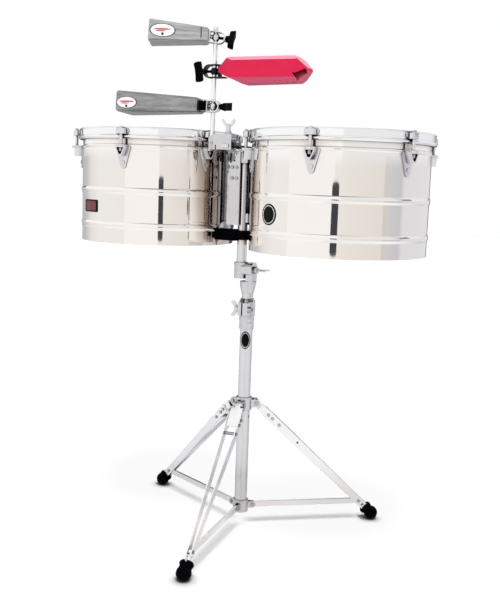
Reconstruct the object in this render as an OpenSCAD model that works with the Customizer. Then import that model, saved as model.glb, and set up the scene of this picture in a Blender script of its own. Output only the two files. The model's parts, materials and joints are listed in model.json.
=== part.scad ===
// Timbales: two tunable drums on a folding tripod stand, with two bells and a block on a rod.
// Frame: origin on the floor under the column axis, +X along the drum line to the larger drum,
// -Y to the player's far side, +Z up. Units are mm.

/* [Drums] */
// Outside diameter of the larger shell
large_shell_d = 378; // [374:1:380]
// Outside diameter of the smaller shell
small_shell_d = 352.6; // [348:0.2:356]
// Depth of both shells
shell_depth = 241.3; // [230:0.1:246]
// Wall thickness of the shells
shell_wall = 1.5; // [1:0.1:2]
// Height of the bearing edge above the floor
edge_z = 894.6; // [880:0.1:920]
// Clear distance from the post's axis to the larger shell
large_gap = 36.5; // [35:0.5:44]
// Clear distance from the post's axis to the smaller shell
small_gap = 45.2; // [42:0.2:50]
// Height of the counterhoops
hoop_h = 24.6; // [20:0.2:26]
// Reach of the hoop's top edge above the bearing edge
hoop_above = 9.9; // [6:0.1:12]
// Number of tuning lugs on each drum
lug_count = 6; // [6:1:6]
// Azimuth of the larger drum's first lug, from -Y toward +X
large_lug_az = 2.5; // [0:0.5:5]
// Azimuth of the smaller drum's first lug, from -Y toward +X
small_lug_az = 5.7; // [0:0.1:8]

/* [Stand] */
// Outside diameter of the column's outer tube
column_d = 28.6; // [28.6:0.1:28.6]
// Outside diameter of the telescoping inner tube
inner_d = 25.4; // [25.4:0.1:25.4]
// Distance of the tripod's feet from the column axis
foot_radius = 320.3; // [300:0.1:330]
// Turn of the tripod about the column, from -Y toward +X
tripod_az = 5.48; // [0:0.01:12]
// Height of the leg hinges above the floor
leg_pivot_z = 291.7; // [280:0.1:300]
// Height of the brace hinges above the floor
brace_pivot_z = 46.9; // [44:0.1:60]
// Diameter of the rubber ball feet
foot_d = 32; // [28:1:36]
// Diameter of the drum post
post_d = 22; // [22:1:22]
// Position of the drum post along X
post_x = -18; // [-20:1:-16]

/* [Accessories] */
// Diameter of the bell rod
rod_d = 9.5; // [9.5:0.1:9.5]
// Lean of the bell rod toward the larger drum, in degrees
rod_lean = 0.6; // [0:0.1:3]
// Length of the upper bell
upper_bell_l = 123; // [110:1:150]
// Length of the lower bell
lower_bell_l = 184; // [160:1:200]
// Length of the block
block_l = 206; // [190:1:220]

/* [Hidden] */
$fn = 64;
eps = 0.01;
run = 0.06;
chrome = [0.86, 0.86, 0.87];
warm = [0.88, 0.86, 0.82];
steel = [0.62, 0.62, 0.63];
black = [0.08, 0.08, 0.08];
white = [0.95, 0.95, 0.93];
red = [0.85, 0.14, 0.26];

// Drum positions
large_r = large_shell_d / 2;
small_r = small_shell_d / 2;
large_x = post_x + large_gap + large_r;
small_x = post_x - small_gap - small_r;
shell_z0 = edge_z - shell_depth;
hoop_top = edge_z + hoop_above;
hoop_z0 = hoop_top - hoop_h;
bead_r = 15.1;
bead_out = 2;
collar_bead_r = 6.4;
collar_bead_out = 1.4;
collar_bead_z = edge_z - 30;
bead_up = 126.9;
bead_low = 202.3;
film = 0.6;
band_in = 4.6;
band_out = 6.8;
flange_out = 9.6;
flange_r = 4.4;
claw_h = 20.2 - 2 * flange_r;
rod_pitch = 13.8;
lug_step = 360 / lug_count;

// Tripod geometry, a leg's own x axis runs from its hinge to its foot
column_r = column_d / 2;
inner_r = inner_d / 2;
pivot_r = 28;
foot_r = foot_d / 2;
foot_z = foot_r - 0.5;
foot_slot = -9;
leg_drop = leg_pivot_z - foot_z;
leg_run = foot_radius - pivot_r;
leg_ang = atan2(leg_drop, leg_run);
leg_len = sqrt(leg_drop * leg_drop + leg_run * leg_run);
brace_x = (leg_pivot_z - brace_pivot_z) / sin(leg_ang);
brace_len = brace_x * cos(leg_ang);
collar_h = 29;
strip_t = 2;
strip_w = 20;
strip_end_w = 17;
strip_x0 = 30;
strip_x1 = leg_len - 62;
strip_x2 = leg_len - 10;
strip_wide = 15.2;
strip_narrow = 4.8;
function strip_y(x) = strip_wide - (x - strip_x0) * (strip_wide - strip_narrow) / (strip_x1 - strip_x0);
leg_az = [tripod_az, tripod_az + 120, tripod_az - 120];

// Column and clamps
column_z0 = 33;
column_top = 529;
clamp_z0 = 496;
clamp_top = 535;
sleeve_z0 = 465;
clamp_screw = [0, -22, 512.5];
tilt_z = 600;
body_z0 = 548;
inner_z0 = 240;
inner_top = 566;
post_r = post_d / 2;
post_z0 = 583;
head_z0 = 706;
head_top = 866;
head_hy = 17;
wall_t = 3;
screw_mid = 804;
screw_high = 828;
slot_z0 = 837;
slot_z1 = 859;

// Accessory carrier in front of the post
block_y = -102;
carrier_x0 = -54.8;
carrier_x1 = 4;
carrier_hy = 12.5;
carrier_nose = 8;
carrier_z0 = 862;
carrier_z1 = 895;
arm_x = -9.4;
arm_w = 16;
arm_t = 8;
arm_z0 = head_top;
rod_r = rod_d / 2;
rod_x = -47.8;
rod_z0 = 866;
rod_len = 250;
upper_h = 228;
block_h = 158.5;
lower_h = 86.5;
upper_turn = 22;
lower_turn = 3;
strap_t = 2.4;
bell_t = 1.6;
clamp_reach = 15;
lower_reach = 29.5;

// ---- Helpers ----

// Local +X points outward at an azimuth counted from -Y toward +X
module at_az(cx, az) {
    translate([cx, 0, 0])
        rotate([0, 0, az - 90])
            children();
}

// A cylinder along X
module rod_along_x(r, x0, x1) {
    translate([x0, 0, 0])
        rotate([0, 90, 0])
            cylinder(r = r, h = x1 - x0);
}

// A cylinder along Y
module rod_along_y(r, y0, y1) {
    translate([0, y0, 0])
        rotate([-90, 0, 0])
            cylinder(r = r, h = y1 - y0);
}

// A box given by its two corners
module box(a, b) {
    translate(a)
        cube([b[0] - a[0], b[1] - a[1], b[2] - a[2]]);
}

// The frame of one leg
module leg_frame(az) {
    at_az(0, az)
        translate([pivot_r, 0, leg_pivot_z])
            rotate([0, leg_ang, 0])
                children();
}

// The frame of the bell rod, z along the rod from its foot
module rod_frame(h) {
    translate([rod_x, block_y, rod_z0])
        rotate([0, rod_lean, 0])
            translate([0, 0, h])
                children();
}

// ---- Column ----

module column_tube() {
    color(chrome)
        difference() {
            translate([0, 0, column_z0])
                cylinder(r = column_r, h = column_top - column_z0);
            translate([0, 0, column_z0 - 1])
                cylinder(r = inner_r + run, h = column_top - column_z0 + 2);
        }
}

module collar_ears(gap, t, r, z) {
    for (s = [-1, 1])
        translate([0, s * (gap + t / 2), z]) {
            box([column_r + 1, -t / 2, -r], [pivot_r, t / 2, r]);
            translate([pivot_r, 0, 0])
                rod_along_y(r, -t / 2, t / 2);
        }
}

module leg_collar() {
    color(chrome)
        difference() {
            union() {
                translate([0, 0, leg_pivot_z - collar_h / 2])
                    cylinder(r = 18.5, h = collar_h);
                for (az = leg_az)
                    at_az(0, az)
                        collar_ears(6.9, 3.4, 9, leg_pivot_z);
            }
            translate([0, 0, leg_pivot_z - collar_h])
                cylinder(r = column_r, h = 2 * collar_h);
            for (az = leg_az)
                at_az(0, az)
                    translate([pivot_r, 0, leg_pivot_z])
                        rod_along_y(3, -20, 20);
        }
}

module hinge_pins(z, r, hw, head_r) {
    for (az = leg_az)
        at_az(0, az)
            translate([pivot_r, 0, z]) {
                rod_along_y(r, -hw, hw);
                rod_along_y(head_r, -hw - 1.6, -hw);
                rod_along_y(head_r, hw, hw + 1.6);
            }
}

module leg_hinge_pins() {
    color(steel)
        hinge_pins(leg_pivot_z, 3, 10.3, 5);
}

module brace_hinge_pins() {
    color(steel)
        hinge_pins(brace_pivot_z, 2.5, 6, 4.2);
}

module brace_collar() {
    color(chrome)
        difference() {
            union() {
                translate([0, 0, brace_pivot_z - 14.5])
                    cylinder(r = 17.6, h = collar_h);
                translate([0, 0, brace_pivot_z + 9])
                    cylinder(r = 18.6, h = 4);
                for (az = leg_az)
                    at_az(0, az)
                        collar_ears(3.4, 2.6, 7, brace_pivot_z);
            }
            translate([0, 0, brace_pivot_z - collar_h])
                cylinder(r = column_r + run, h = 2 * collar_h);
            for (az = leg_az)
                at_az(0, az)
                    translate([pivot_r, 0, brace_pivot_z])
                        rod_along_y(2.5, -20, 20);
        }
}

module height_clamp() {
    color(chrome)
        difference() {
            union() {
                rotate_extrude()
                    polygon([[column_r, sleeve_z0], [16.2, sleeve_z0], [16.6, sleeve_z0 + 1],
                        [16.6, clamp_z0], [18, clamp_z0], [18, column_top - 1],
                        [14.6, clamp_top], [inner_r + run, clamp_top],
                        [inner_r + run, column_top], [column_r, column_top]]);
                box([-10, -28, clamp_z0 + 2], [-1.6, -14.5, column_top - 2]);
                box([1.6, -28, clamp_z0 + 2], [14, -14.5, column_top - 2]);
            }
            box([-1.6, -30, clamp_z0 + 0.5], [1.6, -10, clamp_top + 1]);
            translate(clamp_screw)
                rod_along_x(3 + run, -20, 20);
        }
}

module height_nut() {
    color(steel)
        translate([0, clamp_screw[1], clamp_screw[2]]) {
            difference() {
                union() {
                    translate([14, 0, 0])
                        rotate([0, 90, 0])
                            cylinder(r = 6.6, h = 6, $fn = 6);
                    rod_along_x(5.2, 20, 23);
                }
                rod_along_x(3 + run, 13, 24);
            }
        }
}

module wing_pair(x0, x1, r0, r1, t) {
    for (s = [0, 180])
        rotate([s, 0, 0])
            translate([0, t / 2, 0])
                rotate([90, 0, 0])
                    linear_extrude(height = t)
                        polygon([[x0, 0], [x0, r0 * 0.9], [x1 - 8, r1], [x1 - 2, r1 + 1],
                            [x1, r1 - 3], [x0 + 9, r0 * 0.5], [x0 + 8, 0]]);
}

module height_wing_bolt() {
    color(chrome)
        translate([0, clamp_screw[1], clamp_screw[2]]) {
            rod_along_x(3, -17, 19.5);
            rod_along_x(6.5, -17.5, -10.4);
            mirror([1, 0, 0])
                translate([9, 0, 0])
                    wing_pair(4, 20, 7, 17, 2.6);
        }
}

// ---- Legs and braces ----

module leg_knuckle(az) {
    x1 = 60;
    color(chrome)
        leg_frame(az)
            difference() {
                union() {
                    rod_along_y(8.2, -6.6, 6.6);
                    box([0, -6.6, -8.2], [14, 6.6, 8.2]);
                    translate([0, 0, -8.2])
                        linear_extrude(height = 16.4)
                            polygon([[12, -13.6], [strip_x0, -13.6], [strip_x0, -strip_y(strip_x0) + 1],
                                [x1, -strip_y(x1) + 1], [x1, strip_y(x1) - 1],
                                [strip_x0, strip_y(strip_x0) - 1], [strip_x0, 13.6], [12, 13.6]]);
                }
                rod_along_y(3 + run, -10, 10);
                box([22, -10.4, -10], [x1 + 1, 10.4, 5]);
                for (x = [39, 52])
                    translate([x, 0, 0])
                        rod_along_y(2.2, -20, 20);
            }
}

module strip_solid(side) {
    mirror([0, side < 0 ? 1 : 0, 0])
        intersection() {
            translate([0, 0, -strip_w])
                linear_extrude(height = 2 * strip_w)
                    polygon([[strip_x0, strip_y(strip_x0) - 1], [strip_x1, strip_narrow - 1],
                        [strip_x2, strip_narrow - 1], [strip_x2, strip_narrow + 1],
                        [strip_x1, strip_narrow + 1], [strip_x0, strip_y(strip_x0) + 1]]);
            translate([0, 40, 0])
                rotate([90, 0, 0])
                    linear_extrude(height = 80)
                        polygon([[strip_x0, -strip_w / 2], [strip_x1, -strip_end_w / 2],
                            [strip_x2, -strip_end_w / 2], [strip_x2, strip_end_w / 2],
                            [strip_x1, strip_end_w / 2], [strip_x0, strip_w / 2]]);
        }
}

module leg_strips(az) {
    color(chrome)
        leg_frame(az)
            difference() {
                for (s = [-1, 1])
                    strip_solid(s);
                for (x = [39, 52, 75, brace_x])
                    translate([x, 0, 0])
                        rod_along_y(2.2, -20, 20);
                for (x = [138, leg_len - 33])
                    translate([x, 0, 0])
                        rod_along_y(3, -20, 20);
            }
}

module rivet_pair(x, y) {
    for (s = [-1, 1])
        translate([x, 0, 0])
            mirror([0, s < 0 ? 1 : 0, 0]) {
                rod_along_y(2.2, y - 1, y + 1.6);
                rod_along_y(3.8, y + 1.6, y + 2.8);
            }
}

module leg_rivets(az) {
    color(steel)
        leg_frame(az) {
            for (x = [39, 52])
                rivet_pair(x, strip_y(x));
            translate([75, 0, 0]) {
                rod_along_y(2.2, -strip_y(75) - 1.6, strip_y(75) + 1.6);
                rod_along_y(3.6, -strip_y(75) + 1.4, strip_y(75) - 1.4);
                rod_along_y(3.8, strip_y(75) + 1.6, strip_y(75) + 2.8);
                rod_along_y(3.8, -strip_y(75) - 2.8, -strip_y(75) - 1.6);
            }
            rivet_pair(brace_x, strip_narrow);
        }
}

module leg_foot(az) {
    color(black)
        difference() {
            leg_frame(az)
                difference() {
                    translate([leg_len, 0, 0])
                        rotate([0, -90, 0])
                            rotate_extrude()
                                intersection() {
                                    union() {
                                        circle(r = foot_r);
                                        polygon([[0, 0], [13.2, 0], [13.4, 14], [15.6, 18],
                                            [15.2, 21], [12.4, 24.5], [0, 24.5]]);
                                    }
                                    translate([0, -foot_d])
                                        square([foot_d, 3 * foot_d]);
                                }
                    for (s = [-1, 1])
                        strip_solid(s);
                    box([leg_len - 26, -3.6, -30], [leg_len + foot_slot, 3.6, 30]);
                }
            translate([-500, -500, -50])
                cube([1000, 1000, 50]);
        }
}

module brace(az) {
    color(chrome)
        at_az(0, az)
            translate([pivot_r, 0, brace_pivot_z])
                difference() {
                    union() {
                        rod_along_y(6, -3, 3);
                        box([0, -3, -6], [brace_len, 3, 6]);
                        translate([brace_len, 0, 0])
                            rod_along_y(6, -3, 3);
                    }
                    rod_along_y(2.5 + run, -4, 4);
                    box([14, -1.9, -7], [brace_len - 14, 1.9, 4.4]);
                }
}

// ---- Tilter, post and head ----

module inner_tube() {
    color(chrome)
        difference() {
            translate([0, 0, inner_z0])
                cylinder(r = inner_r, h = inner_top - inner_z0);
            translate([0, 0, inner_z0 - 1])
                cylinder(r = inner_r - 1.6, h = inner_top - inner_z0 - 5);
        }
}

module tilter_body() {
    color(chrome)
        difference() {
            union() {
                rotate_extrude()
                    polygon([[0, body_z0], [14.2, body_z0], [14.8, body_z0 + 4], [17.6, body_z0 + 16],
                        [18.2, body_z0 + 26], [0, body_z0 + 26]]);
                box([0.6, -14, body_z0 + 20], [15, 14, tilt_z]);
                translate([0, 0, tilt_z])
                    rod_along_x(17.4, 0.6, 15);
            }
            translate([0, 0, body_z0 - 1])
                cylinder(r = inner_r, h = inner_top - body_z0 + 1);
            translate([0, 0, tilt_z])
                rod_along_x(4 + run, 0, 20);
        }
}

module tilter_wing_bolt() {
    color(chrome)
        translate([0, 0, tilt_z]) {
            rod_along_x(4, -6, 16);
            rod_along_x(8, 15.4, 23);
            rotate([90, 0, 0])
                translate([15, 0, 0])
                    wing_pair(4, 33, 8, 15, 3);
        }
}

module post_clamp() {
    color(chrome)
        difference() {
            union() {
                translate([post_x, 0, 580])
                    cylinder(r = 15.5, h = 36);
                translate([0, 0, tilt_z])
                    rod_along_x(15.6, -12, 0);
                translate([post_x, 0, 611])
                    cylinder(r = 16.4, h = 5);
            }
            translate([post_x, 0, 570])
                cylinder(r = post_r, h = 60);
            translate([0, 0, tilt_z])
                rod_along_x(4 + run, -8, 1);
        }
}

module drum_post() {
    color(chrome)
        difference() {
            translate([post_x, 0, post_z0])
                cylinder(r = post_r, h = head_top - 1 - post_z0);
            translate([post_x, 0, post_z0 - 1])
                cylinder(r = post_r - 1.8, h = head_top - 5 - post_z0);
        }
}

module post_bumper() {
    color(black)
        difference() {
            union() {
                translate([post_x, 0, 667])
                    cylinder(r = 16.6, h = 20.5);
                box([post_x - small_gap, -14, 664], [post_x - 12, 14, 689.6]);
            }
            translate([post_x, 0, 660])
                cylinder(r = post_r, h = 40);
            shell_beads(small_x, small_r, 0.3);
            translate([small_x, 0, 660])
                cylinder(r = small_r, h = 40, $fn = 180);
        }
}

// Places of the screws that hold the hangers, in front and behind the post
module front_screws() {
    for (z = [screw_mid, screw_high])
        for (x = [-21, -10])
            translate([post_x + x, 0, z])
                children();
}

module back_screws() {
    for (z = [head_z0 + 10, head_top - 14])
        for (x = [-10, 10])
            translate([post_x + x, 0, z])
                rotate([0, 0, 180])
                    children();
}

module head_block() {
    color(chrome)
        difference() {
            union() {
                box([post_x - 28, -head_hy, head_z0], [post_x - 6, head_hy, head_top]);
                box([post_x - 14, -6, head_z0], [post_x + 15, head_hy, head_z0 + 20]);
                box([post_x - 14, -head_hy, head_top - 28], [post_x + 15, head_hy, head_top]);
            }
            translate([post_x, 0, head_z0 - 1])
                cylinder(r = post_r, h = head_top - head_z0 + 2);
            front_screws()
                rod_along_y(2.5, -head_hy - 1, -head_hy + 4);
            back_screws()
                rod_along_y(2.5, -head_hy - 1, -head_hy + 4);
            box([post_x - 26.5, -20, slot_z0], [post_x - 22.5, -4, slot_z1]);
            translate([arm_x, -13.6, head_top - 8])
                cylinder(r = 2, h = 10);
        }
}

// The curved pad by which a hanger is fixed to its shell
module hanger_pad(cx, r) {
    difference() {
        intersection() {
            translate([cx, 0, 690])
                cylinder(r = r + wall_t, h = 176, $fn = 180);
            box([min(post_x, cx), -28, 690], [max(post_x, cx), 28, 866]);
        }
        translate([cx, 0, 680])
            cylinder(r = r, h = 200, $fn = 180);
        shell_beads(cx, r, 0.4);
    }
}

module small_hanger() {
    x0 = post_x - small_gap - wall_t;
    color(chrome)
        difference() {
            union() {
                hanger_pad(small_x, small_r);
                difference() {
                    for (s = [-1, 1])
                        box([x0, s * 11 - 1.5, head_z0 + 4], [post_x - 28, s * 11 + 1.5, head_top - 4]);
                    translate([small_x, 0, 680])
                        cylinder(r = small_r + 1, h = 200, $fn = 180);
                }
                box([post_x - 31.5, -head_hy - wall_t, head_z0 - 6], [post_x - 1.4, -head_hy, head_top - 4]);
                box([post_x - 31.5, -head_hy - wall_t, head_z0 + 4], [post_x - 28, -9.5, head_top - 4]);
            }
            front_screws()
                rod_along_y(2.5, -40, 0);
            translate([post_x - 15.4, 0, 842])
                rod_along_y(2, -40, -14);
            box([post_x - 26.5, -40, slot_z0], [post_x - 22.5, -14, slot_z1]);
            shell_beads(small_x, small_r, 0.5);
        }
}

module large_hanger() {
    x1 = post_x + large_gap + wall_t;
    color(chrome)
        difference() {
            union() {
                hanger_pad(large_x, large_r);
                difference() {
                    union() {
                        box([post_x - 16, head_hy, head_z0 - 6], [x1, head_hy + wall_t, head_top - 4]);
                        box([post_x + 15, -3, head_z0], [x1, head_hy + wall_t, head_z0 + 18]);
                        box([post_x + 15, -3, head_top - 26], [x1, head_hy + wall_t, head_top - 4]);
                    }
                    translate([large_x, 0, 680])
                        cylinder(r = large_r + 1, h = 200, $fn = 180);
                }
            }
            back_screws()
                rod_along_y(2.5, -40, 0);
            shell_beads(large_x, large_r, 0.5);
        }
}

module hanger_screw() {
    rod_along_y(2.5, -head_hy - wall_t, -head_hy + 4);
    rod_along_y(4, -head_hy - wall_t - 2.4, -head_hy - wall_t);
}

module hanger_screws() {
    color(steel) {
        front_screws()
            hanger_screw();
        back_screws()
            hanger_screw();
    }
}

// ---- Drums ----

// The shell's two stiffening beads and its collar bead, grown by a clearance
module bead_profile(r, grow) {
    intersection() {
        union() {
            for (z = [edge_z - bead_up, edge_z - bead_low])
                translate([r + bead_out - bead_r, z])
                    circle(r = bead_r + grow, $fn = 128);
            translate([r + collar_bead_out - collar_bead_r, collar_bead_z])
                circle(r = collar_bead_r + grow, $fn = 96);
        }
        translate([r - shell_wall, shell_z0])
            square([10, shell_depth]);
    }
}

module shell_beads(cx, r, grow) {
    translate([cx, 0, 0])
        rotate_extrude($fn = 180)
            bead_profile(r, grow);
}

module shell(cx, r) {
    color(warm)
        translate([cx, 0, 0])
            rotate_extrude($fn = 180)
                union() {
                    translate([r - shell_wall, shell_z0])
                        square([shell_wall, shell_depth]);
                    translate([r - 6, shell_z0])
                        square([6 - eps, 1.5]);
                    bead_profile(r, 0);
                }
}

module drum_head(cx, r) {
    color(white)
        translate([cx, 0, 0])
            rotate_extrude($fn = 180)
                polygon([[0, edge_z], [r, edge_z], [r, edge_z - 10], [r + 4.2, edge_z - 10],
                    [r + 4.2, edge_z - 4.8], [r + film + 0.4, edge_z - 4.8],
                    [r + film + 0.2, edge_z + film - 0.6], [r - 0.6, edge_z + film], [0, edge_z + film]]);
}

module hoop(cx, r) {
    color(chrome)
        translate([cx, 0, 0])
            rotate_extrude($fn = 180)
                union() {
                    translate([r + band_in, hoop_z0])
                        square([band_out - band_in, hoop_h - 1.6]);
                    translate([r + band_in + 1.2, hoop_top - 1.8])
                        circle(r = 1.8, $fn = 32);
                    intersection() {
                        translate([r + flange_out - flange_r, hoop_z0 + flange_r])
                            circle(r = flange_r, $fn = 48);
                        translate([r + band_in, hoop_z0])
                            square([10, 2 * flange_r]);
                    }
                    translate([r + 1.6, edge_z - 4.8])
                        square([band_in - 1.6 + eps, 2]);
                }
}

module lug(r) {
    z = edge_z;
    difference() {
        union() {
            intersection() {
                translate([r - 12, 0, 0])
                    rotate([90, 0, 90])
                        linear_extrude(height = 30)
                            polygon([[-17, z - 34], [-16, z - 31], [16, z - 31], [17, z - 34],
                                [13.5, z - 46], [5.5, z - 75], [2.5, z - 78.6], [-2.5, z - 78.6],
                                [-5.5, z - 75], [-13.5, z - 46]]);
                translate([0, 0, z - 80])
                    cylinder(r = r + 3.2, h = 60, $fn = 180);
            }
            translate([r - 3, 0, 0])
                rotate([90, 0, 90])
                    linear_extrude(height = rod_pitch + 8)
                        polygon([[-10.5, z - 28.4], [10.5, z - 28.4], [11, z - 35], [3.4, z - 52],
                            [-3.4, z - 52], [-11, z - 35]]);
            translate([r + rod_pitch, 0, z - 34.4])
                cylinder(r = 10, h = 6);
            translate([r + 2, 0, z - 66])
                rod_along_x(4.2, 0, 3);
        }
        cylinder(r = r, h = 2 * z, $fn = 180);
        shell_beads(0, r, 0.3);
        translate([r + 4.6, 0, 0])
            rotate([90, 0, 90])
                linear_extrude(height = 30)
                    polygon([[-8.4, z - 34.4], [8.4, z - 34.4], [2.4, z - 48.6], [-2.4, z - 48.6]]);
        translate([rod_pitch + r, 0, z - 40])
            cylinder(r = 3.4, h = 30);
    }
}

module lugs(cx, r, az0) {
    color(chrome)
        for (k = [0 : lug_count - 1])
            at_az(cx, az0 + k * lug_step)
                lug(r);
}

module lug_nuts(cx, r, az0) {
    color(steel)
        for (k = [0 : lug_count - 1])
            at_az(cx, az0 + k * lug_step)
                translate([r + rod_pitch, 0, edge_z - 42.4])
                    difference() {
                        cylinder(r = 4.6, h = 8);
                        translate([0, 0, -1])
                            cylinder(r = 3.4, h = 20);
                    }
}

module claw(r) {
    z0 = hoop_z0 + 2 * flange_r;
    difference() {
        union() {
            translate([r + band_out, 0, 0])
                rotate([90, 0, 90])
                    linear_extrude(height = 3)
                        polygon([[-11, z0], [-15.6, z0 + 5], [-14.6, z0 + claw_h], [14.6, z0 + claw_h],
                            [15.6, z0 + 5], [11, z0]]);
            box([r + band_out, -5, z0], [r + rod_pitch + 6.4, 5, z0 + claw_h]);
            for (s = [-5, 5])
                translate([r + rod_pitch, s, z0])
                    cylinder(r = 6.4, h = claw_h);
        }
        translate([r + rod_pitch, 0, z0 - 1])
            cylinder(r = 3.4, h = 30);
    }
}

module claws(cx, r, az0) {
    color(chrome)
        for (k = [0 : lug_count - 1])
            at_az(cx, az0 + k * lug_step)
                claw(r);
}

module tension_rods(cx, r, az0) {
    head_z = hoop_z0 + 20.2;
    color(chrome)
        for (k = [0 : lug_count - 1])
            at_az(cx, az0 + k * lug_step)
                translate([r + rod_pitch, 0, 0]) {
                    translate([0, 0, edge_z - 42])
                        cylinder(r = 3.4, h = head_z - edge_z + 42);
                    translate([0, 0, head_z])
                        cylinder(r = 5.6, h = 1.6);
                    box([-3.2, -3.2, head_z + 1.6], [3.2, 3.2, head_z + 5]);
                }
}

// ---- Accessory carrier and rod ----

module accessory_arm() {
    color(chrome)
        difference() {
            box([arm_x - arm_w / 2, block_y - 16, arm_z0], [arm_x + arm_w / 2, 10, arm_z0 + arm_t]);
            translate([arm_x, -13.6, arm_z0 - 1])
                cylinder(r = 2, h = 20);
        }
}

module rod_solid(grow) {
    rod_frame(0)
        cylinder(r = rod_r + grow, h = rod_len);
}

module accessory_carrier() {
    color(chrome)
        difference() {
            union() {
                intersection() {
                    union() {
                        translate([0, block_y, carrier_z0])
                            linear_extrude(height = carrier_z1 - carrier_z0)
                                polygon([[carrier_x1, -carrier_hy], [carrier_x1, carrier_hy],
                                    [-38, carrier_hy], [rod_x, carrier_nose],
                                    [rod_x, -carrier_nose], [-38, -carrier_hy]]);
                        translate([rod_x, block_y, carrier_z0])
                            cylinder(r = carrier_nose, h = carrier_z1 - carrier_z0);
                    }
                    translate([0, block_y + 20, 0])
                        rotate([90, 0, 0])
                            linear_extrude(height = 40)
                                polygon([[carrier_x0 - 2, carrier_z0], [carrier_x1, carrier_z0],
                                    [carrier_x1, carrier_z1], [-40, carrier_z1 - 1],
                                    [rod_x, carrier_z1 - 5], [carrier_x0 - 2, carrier_z1 - 9]]);
                }
                translate([arm_x, block_y, carrier_z1 - 1])
                    cylinder(r = 6.8, h = 5);
            }
            box([arm_x - arm_w / 2, block_y - 20, arm_z0], [arm_x + arm_w / 2, block_y + 20, arm_z0 + arm_t]);
            rod_solid(0);
            translate([arm_x, block_y, arm_z0 + arm_t - 1])
                cylinder(r = 3 + run, h = 40);
            box([-34, block_y - 14, carrier_z0 - 1], [-31.6, block_y + 14, carrier_z0 + 10]);
        }
}

module carrier_wing_screw() {
    color(chrome)
        translate([arm_x, block_y, 0])
            rotate([0, 0, 20]) {
                translate([0, 0, arm_z0 + arm_t + 0.4])
                    cylinder(r = 3, h = 30);
                translate([0, 0, carrier_z1 + 4.3])
                    cylinder(r = 6, h = 2.4);
                translate([0, 0, carrier_z1 + 6])
                    cylinder(r = 4.8, h = 13);
                translate([0, 1.5, carrier_z1 + 4])
                    rotate([90, 0, 0])
                        linear_extrude(height = 3)
                            polygon([[-4.5, 11], [-9, 14], [-13, 20], [-14.5, 25], [-13.6, 27.6],
                                [-11.4, 28], [-8.4, 25], [-6, 20.5], [-3, 17.6], [3, 17.6], [6, 20.5],
                                [8.4, 25], [11.4, 28], [13.6, 27.6], [14.5, 25], [13, 20], [9, 14],
                                [4.5, 11]]);
            }
}

module bell_rod() {
    color(chrome)
        difference() {
            rod_solid(0);
            rod_frame(rod_len - 7)
                rotate_extrude()
                    translate([rod_r - 0.35, 0])
                        square([1, 1]);
        }
}

// Outline of a clamp's strap, round on the screw's side and square on the other
module strap_outline(x0, x1, hz) {
    translate([x0 + hz, 0])
        circle(r = hz);
    translate([x0 + hz, -hz])
        square([x1 - x0 - hz, 2 * hz]);
}

// Strap with an eye round the rod; local +x points from the rod to the instrument it carries
module clamp(x0, x1, hz, hw, end_t) {
    difference() {
        union() {
            translate([0, hw, 0])
                rotate([90, 0, 0])
                    linear_extrude(height = 2 * hw)
                        difference() {
                            strap_outline(x0, x1, hz);
                            strap_outline(x0 + strap_t, x1 - end_t, hz - strap_t);
                        }
            rotate_extrude()
                polygon([[0, -6.8], [6, -6.8], [7.6, -4.4], [8.2, 0], [7.6, 4.4], [6, 6.8], [0, 6.8]]);
            rod_along_x(4, 5, x1 - 1);
        }
        rod_along_x(3 + run, x0 - 1, -3);
    }
}

// T screw with a flared bar handle, on the clamp's round side
module t_screw(x0, turn) {
    rod_along_x(3, x0 - 4, -rod_r - 0.4);
    rotate([turn, 0, 0])
        translate([x0, 0, 0])
            intersection() {
                translate([0, 12, 0])
                    rotate([90, 0, 0])
                        linear_extrude(height = 24)
                            polygon([[-0.6, 5], [-7, 5.5], [-7.4, 18], [-9.4, 20.5], [-18, 20.5],
                                [-20, 18], [-18.8, 6], [-18.8, -6], [-20, -18], [-18, -20.5],
                                [-9.4, -20.5], [-7.4, -18], [-7, -5.5], [-0.6, -5]]);
                translate([0, 0, -24])
                    linear_extrude(height = 48)
                        polygon([[-0.6, 4.5], [-7, 5], [-12.5, 6.2], [-20, 8.5], [-20, -8.5],
                            [-12.5, -6.2], [-7, -5], [-0.6, -4.5]]);
            }
}

// Cross section of a sheet metal bell, half height a and half depth b
module bell_section(a, b, c) {
    polygon([[-a, -b + c], [-a + 0.3 * c, -b + 0.3 * c], [-a + c, -b],
        [a - c, -b], [a - 0.3 * c, -b + 0.3 * c], [a, -b + c],
        [a, b - c], [a - 0.3 * c, b - 0.3 * c], [a - c, b],
        [-a + c, b], [-a + 0.3 * c, b - 0.3 * c], [-a, b - c]]);
}

// A bell along local +x from its closed end, tapering open to the mouth
module bell(l, a0, a1, b0, b1) {
    rotate([0, 90, 0])
        difference() {
            union() {
                linear_extrude(height = 4, scale = 1.12, slices = 1, $fn = 8)
                    bell_section(a0 / 1.12, b0 / 1.12, 4);
                translate([0, 0, 4 - eps])
                    linear_extrude(height = l - 4, scale = [a1 / a0, b1 / b0], slices = 1, $fn = 8)
                        bell_section(a0, b0, 4.5);
            }
            translate([0, 0, 4])
                linear_extrude(height = l, slices = 1, $fn = 8,
                    scale = [(a1 - bell_t) / (a0 - bell_t), (b1 - bell_t) / (b0 - bell_t)])
                    bell_section(a0 - bell_t, b0 - bell_t, 3.4);
        }
}

module upper_place() {
    rod_frame(upper_h)
        rotate([0, 0, upper_turn])
            rotate([0, -6.5, 180])
                children();
}

module upper_bell_place() {
    upper_place()
        translate([clamp_reach, 0, 0])
            rotate([0, 4.7, 0])
                rotate([8, 0, 0])
                    children();
}

module lower_place() {
    rod_frame(lower_h)
        rotate([0, 0, lower_turn])
            rotate([0, -1.4, 180])
                children();
}

module lower_bell_place() {
    lower_place()
        translate([lower_reach, 0, 0])
            rotate([3.2, 0, 0])
                children();
}

module block_place() {
    rod_frame(block_h)
        children();
}

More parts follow.
